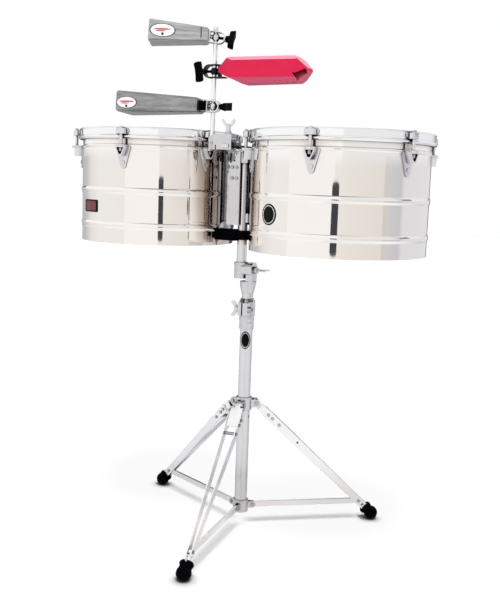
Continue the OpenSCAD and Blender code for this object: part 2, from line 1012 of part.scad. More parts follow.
// The part of space on the rod's side of a bell's closed end
module before_bell() {
    translate([-200, -100, -100])
        cube([200, 200, 200]);
}

module upper_bell() {
    color(steel)
        upper_bell_place()
            bell(upper_bell_l, 14.8, 22.4, 18.5, 29);
}

module upper_bell_clamp() {
    color(chrome)
        difference() {
            intersection() {
                upper_place()
                    clamp(-20, clamp_reach + 3, 12.5, 8, 6.4);
                upper_bell_place()
                    before_bell();
            }
            rod_solid(run);
        }
}

module upper_bell_screw() {
    color(black)
        upper_place()
            t_screw(-20, 40);
}

module lower_bell() {
    color(steel)
        lower_bell_place()
            bell(lower_bell_l, 15.4, 22.4, 22, 42);
}

module lower_bell_clamp() {
    color(chrome)
        difference() {
            lower_place()
                union() {
                    clamp(-15.5, 13.5, 12.5, 8, strap_t);
                    box([13, -9, -11.5], [lower_reach, 9, 11.5]);
                }
            rod_solid(run);
        }
}

module lower_bell_screw() {
    color(black)
        lower_place()
            t_screw(-15.5, 84);
}

module block() {
    hw = 27;
    color(red)
        block_place()
            difference() {
                intersection() {
                    translate([0, 40, 0])
                        rotate([90, 0, 0])
                            linear_extrude(height = 80)
                                polygon([[14, 6], [14, -3], [30, -10], [56, -20], [74, -28],
                                    [block_l - 12, -25], [block_l + 10, -3], [block_l + 10, 3],
                                    [block_l - 17, 27], [40, 27]]);
                    translate([0, 0, -40])
                        linear_extrude(height = 80)
                            polygon([[14, -10], [14, 10], [52, hw], [block_l - 12, hw],
                                [block_l + 10, 16], [block_l + 10, -16], [block_l - 12, -hw], [52, -hw]]);
                    rotate([90, 0, 90])
                        linear_extrude(height = block_l + 20)
                            polygon([[-hw, -16], [-14, -29], [14, -29], [hw, -16],
                                [hw, 19], [17, 27], [-17, 27], [-hw, 19]]);
                }
                box([60, -hw + 6, -19], [block_l - 16, hw - 6, 18]);
                translate([block_l - 1, -14, -13.6])
                    rotate([0, -45, 0])
                        rotate([0, 0, 25])
                            box([-13, -10, -8], [13, 4, 15]);
            }
}

module block_clamp() {
    color(black)
        block_place()
            difference() {
                union() {
                    clamp(-24, 14, 14, 8, strap_t);
                    box([13, -8, -14], [27, 8, -14 + strap_t]);
                }
                cylinder(r = rod_r + run, h = 60, center = true);
                box([13.9, -20, -11.7], [30, 20, 10]);
            }
}

module block_screw() {
    color(black)
        block_place()
            t_screw(-24, 18);
}

// ---- Assembly ----

column_tube();
leg_collar();
leg_hinge_pins();
height_clamp();
height_nut();
height_wing_bolt();
brace_collar();
brace_hinge_pins();
brace(leg_az[0]);  // brace_front
brace(leg_az[1]);  // brace_right
brace(leg_az[2]);  // brace_left
leg_knuckle(leg_az[0]);  // leg_front_knuckle
leg_strips(leg_az[0]);  // leg_front_strips
leg_rivets(leg_az[0]);  // leg_front_rivets
leg_foot(leg_az[0]);  // leg_front_foot
leg_knuckle(leg_az[1]);  // leg_right_knuckle
leg_strips(leg_az[1]);  // leg_right_strips
leg_rivets(leg_az[1]);  // leg_right_rivets
leg_foot(leg_az[1]);  // leg_right_foot
leg_knuckle(leg_az[2]);  // leg_left_knuckle
leg_strips(leg_az[2]);  // leg_left_strips
leg_rivets(leg_az[2]);  // leg_left_rivets
leg_foot(leg_az[2]);  // leg_left_foot
inner_tube();
tilter_body();
tilter_wing_bolt();
post_clamp();
drum_post();
head_block();
small_hanger();
large_hanger();
hanger_screws();
post_bumper();
shell(small_x, small_r);  // small_shell
drum_head(small_x, small_r);  // small_head
hoop(small_x, small_r);  // small_hoop
lugs(small_x, small_r, small_lug_az);  // small_lugs
lug_nuts(small_x, small_r, small_lug_az);  // small_lug_nuts
claws(small_x, small_r, small_lug_az);  // small_claws
tension_rods(small_x, small_r, small_lug_az);  // small_tension_rods
shell(large_x, large_r);  // large_shell
drum_head(large_x, large_r);  // large_head
hoop(large_x, large_r);  // large_hoop
lugs(large_x, large_r, large_lug_az);  // large_lugs
lug_nuts(large_x, large_r, large_lug_az);  // large_lug_nuts
claws(large_x, large_r, large_lug_az);  // large_claws
tension_rods(large_x, large_r, large_lug_az);  // large_tension_rods
accessory_arm();
accessory_carrier();
carrier_wing_screw();
bell_rod();
upper_bell();
upper_bell_clamp();
upper_bell_screw();
lower_bell();
lower_bell_clamp();
lower_bell_screw();
block();
block_clamp();
block_screw();
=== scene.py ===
import json
import math

import bmesh
import bpy
from mathutils import Matrix, Vector
from mathutils.bvhtree import BVHTree

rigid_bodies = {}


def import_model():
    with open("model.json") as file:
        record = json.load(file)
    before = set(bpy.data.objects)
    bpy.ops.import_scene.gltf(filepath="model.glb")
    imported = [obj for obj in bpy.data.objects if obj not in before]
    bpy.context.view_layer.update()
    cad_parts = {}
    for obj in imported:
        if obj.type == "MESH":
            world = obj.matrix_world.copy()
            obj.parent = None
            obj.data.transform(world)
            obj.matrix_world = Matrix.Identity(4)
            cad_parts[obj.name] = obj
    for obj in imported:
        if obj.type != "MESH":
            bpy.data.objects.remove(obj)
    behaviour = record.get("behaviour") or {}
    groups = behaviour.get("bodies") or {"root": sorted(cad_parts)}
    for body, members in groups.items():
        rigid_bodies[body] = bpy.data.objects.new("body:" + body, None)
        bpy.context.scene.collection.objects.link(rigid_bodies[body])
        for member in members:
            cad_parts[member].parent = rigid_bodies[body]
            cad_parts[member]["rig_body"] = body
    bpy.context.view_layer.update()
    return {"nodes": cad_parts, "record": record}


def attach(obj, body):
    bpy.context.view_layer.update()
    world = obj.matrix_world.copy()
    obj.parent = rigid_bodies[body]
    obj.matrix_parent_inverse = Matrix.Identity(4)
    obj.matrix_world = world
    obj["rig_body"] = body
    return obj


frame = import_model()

# Lengths are in metres, colours are linear, compass directions are degrees from the front (-Y) towards +X.

WHITE = (1.0, 1.0, 1.0)


def grey(value):
    return (value, value, value)


# ---------------------------------------------------------------- camera
CAMERA_AZ = math.radians(25.16)
CAMERA_EL = math.radians(7.75)
CAMERA_ROLL = math.radians(1.98)
CAMERA_DISTANCE = 1.932
CAMERA_TARGET = Vector((0.0067, 0.0, 0.5314))
CAMERA_LENS = 51.09
SENSOR_WIDTH = 36.0
CAMERA_REACH = 60.0


def make_camera():
    flat = math.cos(CAMERA_EL)
    back = Vector((math.sin(CAMERA_AZ) * flat, -math.cos(CAMERA_AZ) * flat, math.sin(CAMERA_EL)))
    right = Vector((math.cos(CAMERA_AZ), math.sin(CAMERA_AZ), 0))
    up = back.cross(right)
    c, s = math.cos(CAMERA_ROLL), math.sin(CAMERA_ROLL)
    x_axis = right * c + up * s
    y_axis = up * c - right * s
    data = bpy.data.cameras.new("camera")
    data.lens = CAMERA_LENS
    data.sensor_width = SENSOR_WIDTH
    data.clip_end = CAMERA_REACH
    camera = bpy.data.objects.new("camera", data)
    turn = Matrix((x_axis, y_axis, back)).transposed().to_4x4()
    camera.matrix_world = Matrix.Translation(CAMERA_TARGET + back * CAMERA_DISTANCE) @ turn
    bpy.context.scene.collection.objects.link(camera)
    bpy.context.scene.camera = camera


# ---------------------------------------------------------------- node trees
# Where a mix node of colours takes its share and its two colours, and where it gives the result.
MIX_SHARE, MIX_A, MIX_B, MIX_RESULT = 0, 6, 7, 2


class Nodes:
    """A node tree. Most methods add one kind of node, take sockets or constants and return a socket."""

    def __init__(self, tree):
        self.tree = tree

    def add(self, kind, **settings):
        node = self.tree.nodes.new(kind)
        for name, value in settings.items():
            setattr(node, name, value)
        return node

    def feed(self, value, target):
        """Give an input a constant, or link a socket to it."""
        if isinstance(value, bpy.types.NodeSocket):
            self.tree.links.new(value, target)
        else:
            target.default_value = value

    def coordinates(self, kind):
        return self.add("ShaderNodeTexCoord").outputs[kind]

    def split(self, vector):
        node = self.add("ShaderNodeSeparateXYZ")
        self.feed(vector, node.inputs[0])
        return node.outputs

    def noise(self, scale, detail=3.0, stretch=(1, 1, 1), roughness=0.5, turn=0.0):
        """Noise in object coordinates that are turned about Z by turn degrees, then stretched."""
        place = self.add("ShaderNodeMapping", vector_type="TEXTURE")
        place.inputs["Rotation"].default_value = (0, 0, math.radians(turn))
        place.inputs["Scale"].default_value = tuple(1.0 / v for v in stretch)
        self.feed(self.coordinates("Object"), place.inputs["Vector"])
        node = self.add("ShaderNodeTexNoise")
        node.inputs["Scale"].default_value = scale
        node.inputs["Detail"].default_value = detail
        node.inputs["Roughness"].default_value = roughness
        self.feed(place.outputs["Vector"], node.inputs["Vector"])
        return node.outputs["Fac"]

    def ramp(self, source, stops):
        """A colour that runs through stops, a list of (value of the source, colour)."""
        node = self.add("ShaderNodeValToRGB")
        elements = node.color_ramp.elements
        while len(elements) < len(stops):
            elements.new(0.5)
        for element, (position, colour) in zip(elements, stops):
            element.position = position
            element.color = (*colour, 1)
        self.feed(source, node.inputs["Fac"])
        return node.outputs["Color"]

    def rescale(self, source, given=(0.0, 1.0), wanted=(0.0, 1.0)):
        """Carry the given range of values over to the wanted range."""
        node = self.add("ShaderNodeMapRange")
        node.inputs["From Min"].default_value, node.inputs["From Max"].default_value = given
        node.inputs["To Min"].default_value, node.inputs["To Max"].default_value = wanted
        self.feed(source, node.inputs["Value"])
        return node.outputs["Result"]

    def multiply(self, first, second, share=1.0):
        node = self.add("ShaderNodeMix", data_type="RGBA", blend_type="MULTIPLY")
        node.inputs[MIX_SHARE].default_value = share
        self.feed(first, node.inputs[MIX_A])
        self.feed(second, node.inputs[MIX_B])
        return node.outputs[MIX_RESULT]

    def compute(self, operation, *values):
        node = self.add("ShaderNodeMath", operation=operation)
        for value, target in zip(values, node.inputs):
            self.feed(value, target)
        return node.outputs[0]

    def openness(self, reach, rays):
        """1 in the open, less where other surfaces stand within reach."""
        node = self.add("ShaderNodeAmbientOcclusion", samples=rays)
        node.inputs["Distance"].default_value = reach
        return node.outputs["AO"]

    def glow(self, colour, strength=1.0):
        node = self.add("ShaderNodeEmission")
        self.feed(colour, node.inputs["Color"])
        node.inputs["Strength"].default_value = strength
        return node.outputs[0]

    def in_reflections(self, plain, mirrored, target):
        """Feed the target the plain shader, and the mirrored one where a reflection looks at it."""
        node = self.add("ShaderNodeMixShader")
        self.feed(self.add("ShaderNodeLightPath").outputs["Is Glossy Ray"], node.inputs[0])
        self.feed(plain, node.inputs[1])
        self.feed(mirrored, node.inputs[2])
        self.feed(node.outputs[0], target)


class Surface(Nodes):
    """A material with the standard shader."""

    def __init__(self, name):
        self.material = bpy.data.materials.new(name)
        self.material.use_nodes = True
        super().__init__(self.material.node_tree)
        self.inputs = next(n for n in self.tree.nodes if n.type == "BSDF_PRINCIPLED").inputs

    def colour(self, value):
        self.feed(value, self.inputs["Base Color"])

    def roughness(self, source, low, high):
        self.feed(self.rescale(source, wanted=(low, high)), self.inputs["Roughness"])

    def bump(self, source, strength, depth):
        node = self.add("ShaderNodeBump")
        node.inputs["Strength"].default_value = strength
        node.inputs["Distance"].default_value = depth
        self.feed(source, node.inputs["Height"])
        self.feed(node.outputs["Normal"], self.inputs["Normal"])


# ---------------------------------------------------------------- materials
# Painted shade: how much of a colour is left where other surfaces close in round it, as (openness, tint).
RECESS_SHADE = [(0.25, (0.10, 0.10, 0.11)), (0.50, (0.45, 0.45, 0.46)), (0.74, WHITE)]
SHELL_RECESS_SHADE = [(0.20, (0.50, 0.46, 0.44)), (0.52, (0.68, 0.63, 0.60)), (0.84, WHITE)]
LEG_RECESS_SHADE = [(0.05, (0.50, 0.50, 0.51)), (0.40, WHITE)]
BLOCK_RECESS_SHADE = [(0.25, (0.35, 0.04, 0.08)), (0.62, (0.55, 0.10, 0.16)), (0.84, WHITE)]
RECESS_RAYS = 12
WAVE_DEPTH = 0.002
PRINT_GRAIN_DEPTH = 0.00005


def polished(name, colour, shade, rough, wave=0.02, ripple=14.0, stretch=(1, 1, 1), reach=0.03,
             recess_shade=RECESS_SHADE):
    """Plated or polished metal: faint haze, slight waviness, and painted shade that darkens its recesses."""
    m = Surface(name)
    m.inputs["Metallic"].default_value = 1.0
    haze = m.ramp(m.noise(scale=9.0, detail=5.0), [(0.3, shade), (0.7, colour)])
    # Painted shade: the colour darkens where other surfaces close in round it.
    m.colour(m.multiply(haze, m.ramp(m.openness(reach, RECESS_RAYS), recess_shade)))
    m.roughness(m.noise(scale=160.0, detail=4.0, stretch=stretch), *rough)
    m.bump(m.noise(scale=ripple, detail=2.0), wave, WAVE_DEPTH)
    return m.material


def brushed(name, colour, shade, turn):
    """Brushed sheet steel with long streaks, turned about Z to run along the bell."""
    m = Surface(name)
    m.inputs["Metallic"].default_value = 1.0
    streak = m.noise(scale=60.0, detail=6.0, stretch=(0.10, 2.6, 2.6), roughness=0.75, turn=turn)
    m.colour(m.ramp(streak, [(0.36, shade), (0.60, colour)]))
    m.roughness(streak, low=0.28, high=0.5)
    m.bump(streak, strength=0.25, depth=0.0004)
    return m.material


def moulded(name, colour, shade, rough, grain, depth=PRINT_GRAIN_DEPTH, gloss=0.5):
    """Rubber, plastic, film, print or enamel with a fine grain."""
    m = Surface(name)
    m.colour(m.ramp(m.noise(scale=25.0), [(0.3, shade), (0.7, colour)]))
    fine = m.noise(scale=grain, detail=4.0)
    m.roughness(fine, rough - 0.06, rough + 0.08)
    m.inputs["Specular IOR Level"].default_value = gloss
    m.bump(fine, strength=0.3, depth=depth)
    return m.material


def faceted(name, face, top, under, rough, reach, gloss):
    """Moulded block, sloping facets paler than its upright face: painted sheen above, painted floor
    reflection below.
    """
    m = Surface(name)
    # Painted light by slope: upward facets take the painted sheen, downward ones the painted reflection of
    # the floor.
    rise = m.rescale(m.split(m.coordinates("Normal"))["Z"], given=(-1.0, 1.0))
    tone = m.ramp(rise, [(0.18, under), (0.34, under), (0.42, face), (0.57, face), (0.64, top), (0.85, top)])
    cloud = m.noise(scale=70.0, detail=5.0, stretch=(0.5, 1, 1), roughness=0.6)
    mottled = m.multiply(tone, m.ramp(cloud, [(0.3, grey(0.8)), (0.7, WHITE)]), share=0.35)
    # Painted shade: the block darkens in its recesses.
    m.colour(m.multiply(mottled, m.ramp(m.openness(reach, RECESS_RAYS), BLOCK_RECESS_SHADE)))
    m.inputs["Specular IOR Level"].default_value = gloss
    fine = m.noise(scale=500.0, detail=4.0)
    m.roughness(fine, rough - 0.05, rough + 0.08)
    m.bump(fine, strength=0.3, depth=0.00015)
    return m.material


# The record's material slots.
MATERIALS = {
    "chrome_steel": polished("plated_chrome", (0.78, 0.78, 0.80), (0.70, 0.70, 0.72), (0.05, 0.11)),
    "shell_steel": polished("polished_shell", (0.95, 0.925, 0.90), (0.93, 0.905, 0.88), (0.03, 0.06),
                            wave=0.004, stretch=(1, 1, 30), reach=0.20, recess_shade=SHELL_RECESS_SHADE),
    "zinc_steel": polished("zinc_steel", (0.55, 0.55, 0.57), (0.42, 0.42, 0.44), (0.2, 0.35)),
    "bell_steel": brushed("brushed_bell", (0.43, 0.43, 0.44), (0.24, 0.24, 0.25), turn=3.0),
    "black_steel": polished("black_plated", (0.02, 0.02, 0.022), (0.01, 0.01, 0.011), (0.2, 0.34)),
    "black_rubber": moulded("black_rubber", (0.002, 0.002, 0.003), (0.001, 0.001, 0.002),
                            rough=0.6, grain=900, depth=0.0002, gloss=0.015),
    "black_plastic": moulded("black_plastic", (0.002, 0.002, 0.003), (0.001, 0.001, 0.002),
                             rough=0.45, grain=700, depth=0.0001, gloss=0.02),
    "head_film": moulded("head_film", (0.53, 0.52, 0.50), (0.48, 0.47, 0.45),
                         rough=0.45, grain=500, depth=0.0002),
    # top and under are painted sheen and painted floor reflection on the block's sloping facets.
    "red_plastic": faceted("red_plastic", face=(0.70, 0.012, 0.07), top=(0.80, 0.27, 0.36),
                           under=(0.66, 0.11, 0.19), rough=0.36, reach=0.05, gloss=0.12),
}
UPPER_BELL_STEEL = brushed("brushed_upper_bell", (0.64, 0.64, 0.65), (0.38, 0.38, 0.39), turn=22.0)
HOOP_CHROME = polished("hoop_chrome", (0.96, 0.96, 0.97), (0.92, 0.92, 0.93), (0.03, 0.08), wave=0.008)
STAND_CHROME = polished("stand_chrome", (0.74, 0.74, 0.76), (0.67, 0.67, 0.69), (0.05, 0.11))
CAST_CHROME = polished("cast_chrome", (0.69, 0.69, 0.71), (0.60, 0.60, 0.62), (0.05, 0.12), wave=0.55,
                       ripple=52.0)
LEG_CHROME = polished("leg_chrome", (0.96, 0.96, 0.97), (0.89, 0.89, 0.90), (0.05, 0.11), recess_shade=LEG_RECESS_SHADE)
ENAMEL = moulded("black_enamel", (0.004, 0.004, 0.005), (0.002, 0.002, 0.002), rough=0.3, grain=600,
                 gloss=0.06)
ENAMEL_LINE = moulded("light_line", (0.75, 0.75, 0.74), (0.68, 0.68, 0.67), rough=0.4, grain=600)
LABEL_WHITE = moulded("label_white", (0.92, 0.91, 0.89), (0.86, 0.85, 0.83), rough=0.4, grain=400)
LABEL_RED = moulded("label_red", (0.60, 0.05, 0.06), (0.45, 0.03, 0.04), rough=0.4, grain=400)
LABEL_DARK = moulded("label_dark", (0.05, 0.045, 0.045), (0.03, 0.028, 0.028), rough=0.4, grain=400)
PLATE_RED = moulded("plate_red", (0.17, 0.016, 0.02), (0.10, 0.008, 0.01), rough=0.35, grain=400)

# Looks that differ from the slot's: the stand's chrome, its flat strips, castings, the brightest plating.
STAND_BODIES = ("stand", "height_screw", "brace_slider", "mast", "tilter_screw", "leg_front", "leg_right",
                "leg_left", "brace_front_unit", "brace_right_unit", "brace_left_unit")
STRIP_PREFIXES = ("leg_", "brace_")
CAST_NODES = ("head_block", "small_hanger", "large_hanger", "post_clamp", "tilter_body", "accessory_carrier",
              "height_clamp", "leg_collar", "brace_collar")
BRIGHT_NODES = ("small_hoop", "large_hoop", "bell_rod")


def material_of(node, slot, body):
    if node == "upper_bell":
        return UPPER_BELL_STEEL
    if node in CAST_NODES:
        return CAST_CHROME
    if node in BRIGHT_NODES:
        return HOOP_CHROME
    if slot == "chrome_steel" and body in STAND_BODIES:
        return LEG_CHROME if node.startswith(STRIP_PREFIXES) else STAND_CHROME
    return MATERIALS[slot]


def dress_frame():
    slots = {s["node"]: s["material_slot"] for s in frame["record"]["subparts"]}
    for node, obj in frame["nodes"].items():
        material = material_of(node, slots[node], obj["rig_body"])
        if not obj.material_slots:
            obj.data.materials.append(material)
        for slot in obj.material_slots:
            slot.material = material


# ---------------------------------------------------------------- small pieces made here
SEGMENTS = 72
# How far a plate's rim sinks into the surface under it, and how far out the surface is looked for.
SINK = 0.0003
RAY_LIFT = 0.03
ROUND = 2.0


def superellipse(index, power):
    """One of SEGMENTS points of the unit superellipse: power 2 is a circle, larger powers square it up."""
    angle = 2 * math.pi * index / SEGMENTS
    c, s = math.cos(angle), math.sin(angle)
    e = 2.0 / power
    return math.copysign(abs(c) ** e, c), math.copysign(abs(s) ** e, s)


def surface_of(node):
    mesh = frame["nodes"][node].data
    corners = [v.co.copy() for v in mesh.vertices]
    return BVHTree.FromPolygons(corners, [tuple(p.vertices) for p in mesh.polygons])


def new_piece(name, bm, body, materials):
    bmesh.ops.recalc_face_normals(bm, faces=bm.faces)
    mesh = bpy.data.meshes.new(name)
    bm.to_mesh(mesh)
    bm.free()
    for material in materials:
        mesh.materials.append(material)
    obj = bpy.data.objects.new(name, mesh)
    bpy.context.scene.collection.objects.link(obj)
    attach(obj, body)


def badge(name, body, node, spot, half, profile, materials, power=ROUND):
    """A thin plate laid on a CAD surface.

    spot is its centre, the surface's outward normal and the direction of its first half size. profile is a
    list of (share of the outline, height over the surface, material), from the middle outwards.
    """
    centre, normal, across = (Vector(v) for v in spot)
    surface = surface_of(node)
    normal.normalize()
    u = (across - normal * across.dot(normal)).normalized()
    v = normal.cross(u)

    def lay(x, y, height):
        p = centre + u * x + v * y
        hit = surface.ray_cast(p + normal * RAY_LIFT, -normal)[0]
        return (hit if hit else p) + normal * height

    bm = bmesh.new()
    top = bm.verts.new(lay(0, 0, profile[0][1]))
    rings = []
    for share, height, _ in profile:
        outline = (superellipse(i, power) for i in range(SEGMENTS))
        places = [lay(x * share * half[0], y * share * half[1], height) for x, y in outline]
        rings.append([bm.verts.new(p) for p in places])
    under = bm.verts.new(lay(0, 0, -SINK))
    for i in range(SEGMENTS):
        j = (i + 1) % SEGMENTS
        bm.faces.new((top, rings[0][i], rings[0][j])).material_index = profile[0][2]
        for inner, outer, (_, _, index) in zip(rings, rings[1:], profile[1:]):
            bm.faces.new((inner[i], outer[i], outer[j], inner[j])).material_index = index
        bm.faces.new((under, rings[-1][j], rings[-1][i])).material_index = profile[-1][2]
    for face in bm.faces:
        face.smooth = True
    new_piece(name, bm, body, materials)


def sleeve(name, body, slot, place, sections, corner_power):
    """A soft-cornered sleeve lofted along local X through (x, half width, half height) sections."""
    bm = bmesh.new()
    rings = []
    for x, half_y, half_z in sections:
        outline = (superellipse(i, corner_power) for i in range(SEGMENTS))
        places = [place @ Vector((x, y * half_y, z * half_z)) for y, z in outline]
        rings.append([bm.verts.new(p) for p in places])
    for inner, outer in zip(rings, rings[1:]):
        for i in range(SEGMENTS):
            j = (i + 1) % SEGMENTS
            bm.faces.new((inner[i], outer[i], outer[j], inner[j])).smooth = True
    bm.faces.new(rings[0])
    bm.faces.new(rings[-1])
    new_piece(name, bm, body, [MATERIALS[slot]])


# Profiles of the plates: a round badge with a light line near its rim, a rimmed tag, a printed label, a mark
# printed on the label, and a crimp in sheet steel.
DISC = [(0.78, 0.0010, 0), (0.81, 0.0010, 1), (0.85, 0.0010, 1), (0.88, 0.0010, 0), (0.91, 0.0010, 0),
        (0.95, 0.0013, 0), (0.985, 0.0011, 0), (1.0, -SINK, 0)]
TAG = [(0.55, 0.0008, 0), (0.74, 0.0008, 0), (0.78, 0.0011, 1), (0.96, 0.0011, 1), (1.0, -SINK, 1)]
LABEL = [(0.40, 0.0005, 0), (0.90, 0.0005, 0), (0.925, 0.0006, 1), (0.975, 0.0006, 1), (1.0, -SINK, 1)]
MARK = [(0.6, 0.0008, 0), (0.92, 0.0008, 0), (1.0, 0.0002, 0)]
CRIMP = [(0.5, 0.0012, 0), (0.85, 0.0009, 0), (1.0, -SINK, 0)]
TAG_POWER = 16.0
CRIMP_POWER = 6.0

# Where each plate lies (centre, outward normal, direction of the first half size) and its half sizes.
SHELL_BADGE_SPOT = ((0.1204, -0.1677, 0.7328), (-0.478, -0.878, 0), (1, 0, 0))
SHELL_BADGE_HALF = (0.0215, 0.0215)
COLUMN_BADGE_SPOT = ((0.0046, -0.0138, 0.4405), (0.33, -0.944, 0), (1, 0, 0))
COLUMN_BADGE_HALF = (0.0115, 0.0205)
SHELL_PLATE_SPOT = ((-0.3205, -0.1568, 0.7324), (-0.46, -0.888, 0), (1, 0, 0))
SHELL_PLATE_HALF = (0.0300, 0.0140)
UPPER_LABEL_SPOT = ((-0.1364, -0.1672, 1.1020), (0.456, -0.88, 0.131), (-0.87, -0.46, 0))
UPPER_LABEL_HALF = (0.0275, 0.0142)
LOWER_LABEL_SPOT = ((-0.2333, -0.1512, 0.9579), (0.164, -0.985, 0.051), (-1, 0, 0))
LOWER_LABEL_HALF = (0.0245, 0.0128)
CRIMP_SPOT = ((-0.0655, -0.1302, 1.1010), (0.456, -0.88, 0.131), (-0.87, -0.46, 0))
CRIMP_HALF = (0.0012, 0.0125)

# Plain marks in place of lettering: name, shift along the label, rise, half sizes and material.
LABEL_MARKS = (
    ("stroke", 0.0, 0.0022, (0.0185, 0.0017), LABEL_RED),
    ("stroke_low", 0.004, -0.0016, (0.0110, 0.0011), LABEL_RED),
    ("dot", 0.0, -0.0076, (0.0030, 0.0030), LABEL_DARK),
)


def make_badges():
    badge("shell_badge", "drum_assembly", "large_shell", SHELL_BADGE_SPOT, SHELL_BADGE_HALF,
          DISC, (ENAMEL, ENAMEL_LINE))
    badge("column_badge", "stand", "column_tube", COLUMN_BADGE_SPOT, COLUMN_BADGE_HALF,
          DISC, (ENAMEL, ENAMEL_LINE))
    badge("shell_plate", "drum_assembly", "small_shell", SHELL_PLATE_SPOT, SHELL_PLATE_HALF,
          TAG, (PLATE_RED, ENAMEL), TAG_POWER)


def make_bell_label(bell, spot, half):
    body = bell + "_unit"
    badge(bell + "_label", body, bell, spot, half, LABEL, (LABEL_WHITE, LABEL_DARK))
    centre, normal, across = spot
    along = Vector(across).normalized()
    for name, shift, rise, size, material in LABEL_MARKS:
        middle = Vector(centre) + along * shift + Vector((0, 0, rise))
        badge(bell + "_" + name, body, bell, (middle, normal, across), size, MARK, (material,))


# The lower bell's clamp sleeve: the rod's foot and lean, the bell's height along the rod and how it points.
ROD_FOOT = (-0.0478, -0.102, 0.866)
ROD_LEAN = math.radians(0.6)
LOWER_BELL_RISE = 0.0865
LOWER_BELL_TURN = math.radians(183)
LOWER_BELL_DIP = math.radians(-1.4)
SLEEVE_MOUTH = (0.0080, 0.0105)
SLEEVE_GROOVE = (0.0097, 0.0122)
SLEEVE_RIB = (0.0102, 0.0127)
SLEEVE_START = 0.0130
SLEEVE_EDGE = 0.0004
SLEEVE_RIB_STARTS = (0.0145, 0.0206)
SLEEVE_RIB_WIDTH = 0.0041
SLEEVE_GROOVE_WIDTH = 0.0012
SLEEVE_LAST_RIB = (0.0267, 0.0288)
SLEEVE_END = 0.0294
SLEEVE_POWER = 5.0


def make_sleeve():
    sections = [(SLEEVE_START, *SLEEVE_MOUTH), (SLEEVE_START + SLEEVE_EDGE, *SLEEVE_GROOVE)]
    for start in SLEEVE_RIB_STARTS:
        end = start + SLEEVE_RIB_WIDTH
        groove = end + SLEEVE_EDGE
        sections += [(start, *SLEEVE_RIB), (end, *SLEEVE_RIB)]
        sections += [(groove, *SLEEVE_GROOVE), (groove + SLEEVE_GROOVE_WIDTH, *SLEEVE_GROOVE)]
    sections += [(x, *SLEEVE_RIB) for x in SLEEVE_LAST_RIB]
    sections += [(SLEEVE_END, *SLEEVE_GROOVE)]
    lean = Matrix.Rotation(ROD_LEAN, 4, "Y")
    turn = Matrix.Rotation(LOWER_BELL_TURN, 4, "Z") @ Matrix.Rotation(LOWER_BELL_DIP, 4, "Y")
    place = Matrix.Translation(ROD_FOOT) @ lean @ Matrix.Translation((0, 0, LOWER_BELL_RISE)) @ turn
    sleeve("lower_bell_sleeve", "lower_bell_unit", "black_plastic", place, sections, SLEEVE_POWER)


def make_pieces():
    make_badges()
    make_bell_label("upper_bell", UPPER_LABEL_SPOT, UPPER_LABEL_HALF)
    make_bell_label("lower_bell", LOWER_LABEL_SPOT, LOWER_LABEL_HALF)
    badge("upper_bell_crimp", "upper_bell_unit", "upper_bell", CRIMP_SPOT, CRIMP_HALF,
          CRIMP, (LABEL_DARK,), CRIMP_POWER)
    make_sleeve()


# ---------------------------------------------------------------- surroundings
# Tones that polished metal mirrors, by compass direction: low down, and from the hoops' height up.
LOW_TONES = [
    (-180, (0.10, 0.10, 0.11)), (-140, (0.12, 0.12, 0.13)), (-126, (0.50, 0.50, 0.52)),
    (-103, (0.56, 0.56, 0.57)), (-86, (0.80, 0.80, 0.80)), (-67, (0.90, 0.885, 0.87)),
    (-43, (0.90, 0.88, 0.86)), (25, (0.88, 0.85, 0.82)), (30, (0.86, 0.83, 0.79)),
    (75.5, (0.80, 0.765, 0.73)), (76.5, (0.68, 0.64, 0.61)), (83, (0.67, 0.65, 0.63)),
    (84, (0.64, 0.64, 0.67)), (99, (0.60, 0.60, 0.63)), (104, (0.76, 0.76, 0.79)),
    (150, (0.78, 0.78, 0.81)), (170, (0.78, 0.78, 0.81)), (175, (0.12, 0.12, 0.13)),
    (180, (0.10, 0.10, 0.11)),
]
HIGH_TONES = [
    (-180, (0.10, 0.10, 0.11)), (-150, (0.15, 0.15, 0.16)), (-128, (0.35, 0.35, 0.36)),
    (-112, (0.62, 0.62, 0.64)), (-105, (0.98, 0.98, 0.98)), (24, WHITE), (26, (0.87, 0.865, 0.86)),
    (94, (0.84, 0.84, 0.85)), (96, (0.70, 0.70, 0.72)), (105, (0.74, 0.74, 0.76)),
    (112, (0.88, 0.88, 0.90)), (150, (0.85, 0.85, 0.87)), (168, (0.50, 0.50, 0.52)),
    (176, (0.12, 0.12, 0.13)), (180, (0.10, 0.10, 0.11)),
]
# Higher still, no tone is darker than this.
TOP_DARKEST = 0.72
TOP_TONES = [(az, tuple(max(v, TOP_DARKEST) for v in tone)) for az, tone in HIGH_TONES]
# The room's rows of tones, by height.
ROOM_ROWS = [(0.0, LOW_TONES), (0.90, LOW_TONES), (0.96, HIGH_TONES), (1.12, HIGH_TONES), (1.2, TOP_TONES),
             (3.2, TOP_TONES)]
ROOM_RADIUS = 3.0
ROOM_STEP = 1.5
CARD_STEP = 3.0
CAP_STEP = 15
# Tones overhead, by how steeply a reflection looks up: 0 is level and 1 is straight up.
SKY_BANDS = [(0.0, grey(0.8)), (0.58, grey(0.8)), (0.66, (0.56, 0.54, 0.52)), (0.78, (0.54, 0.52, 0.50)),
             (0.86, WHITE), (1.0, WHITE)]
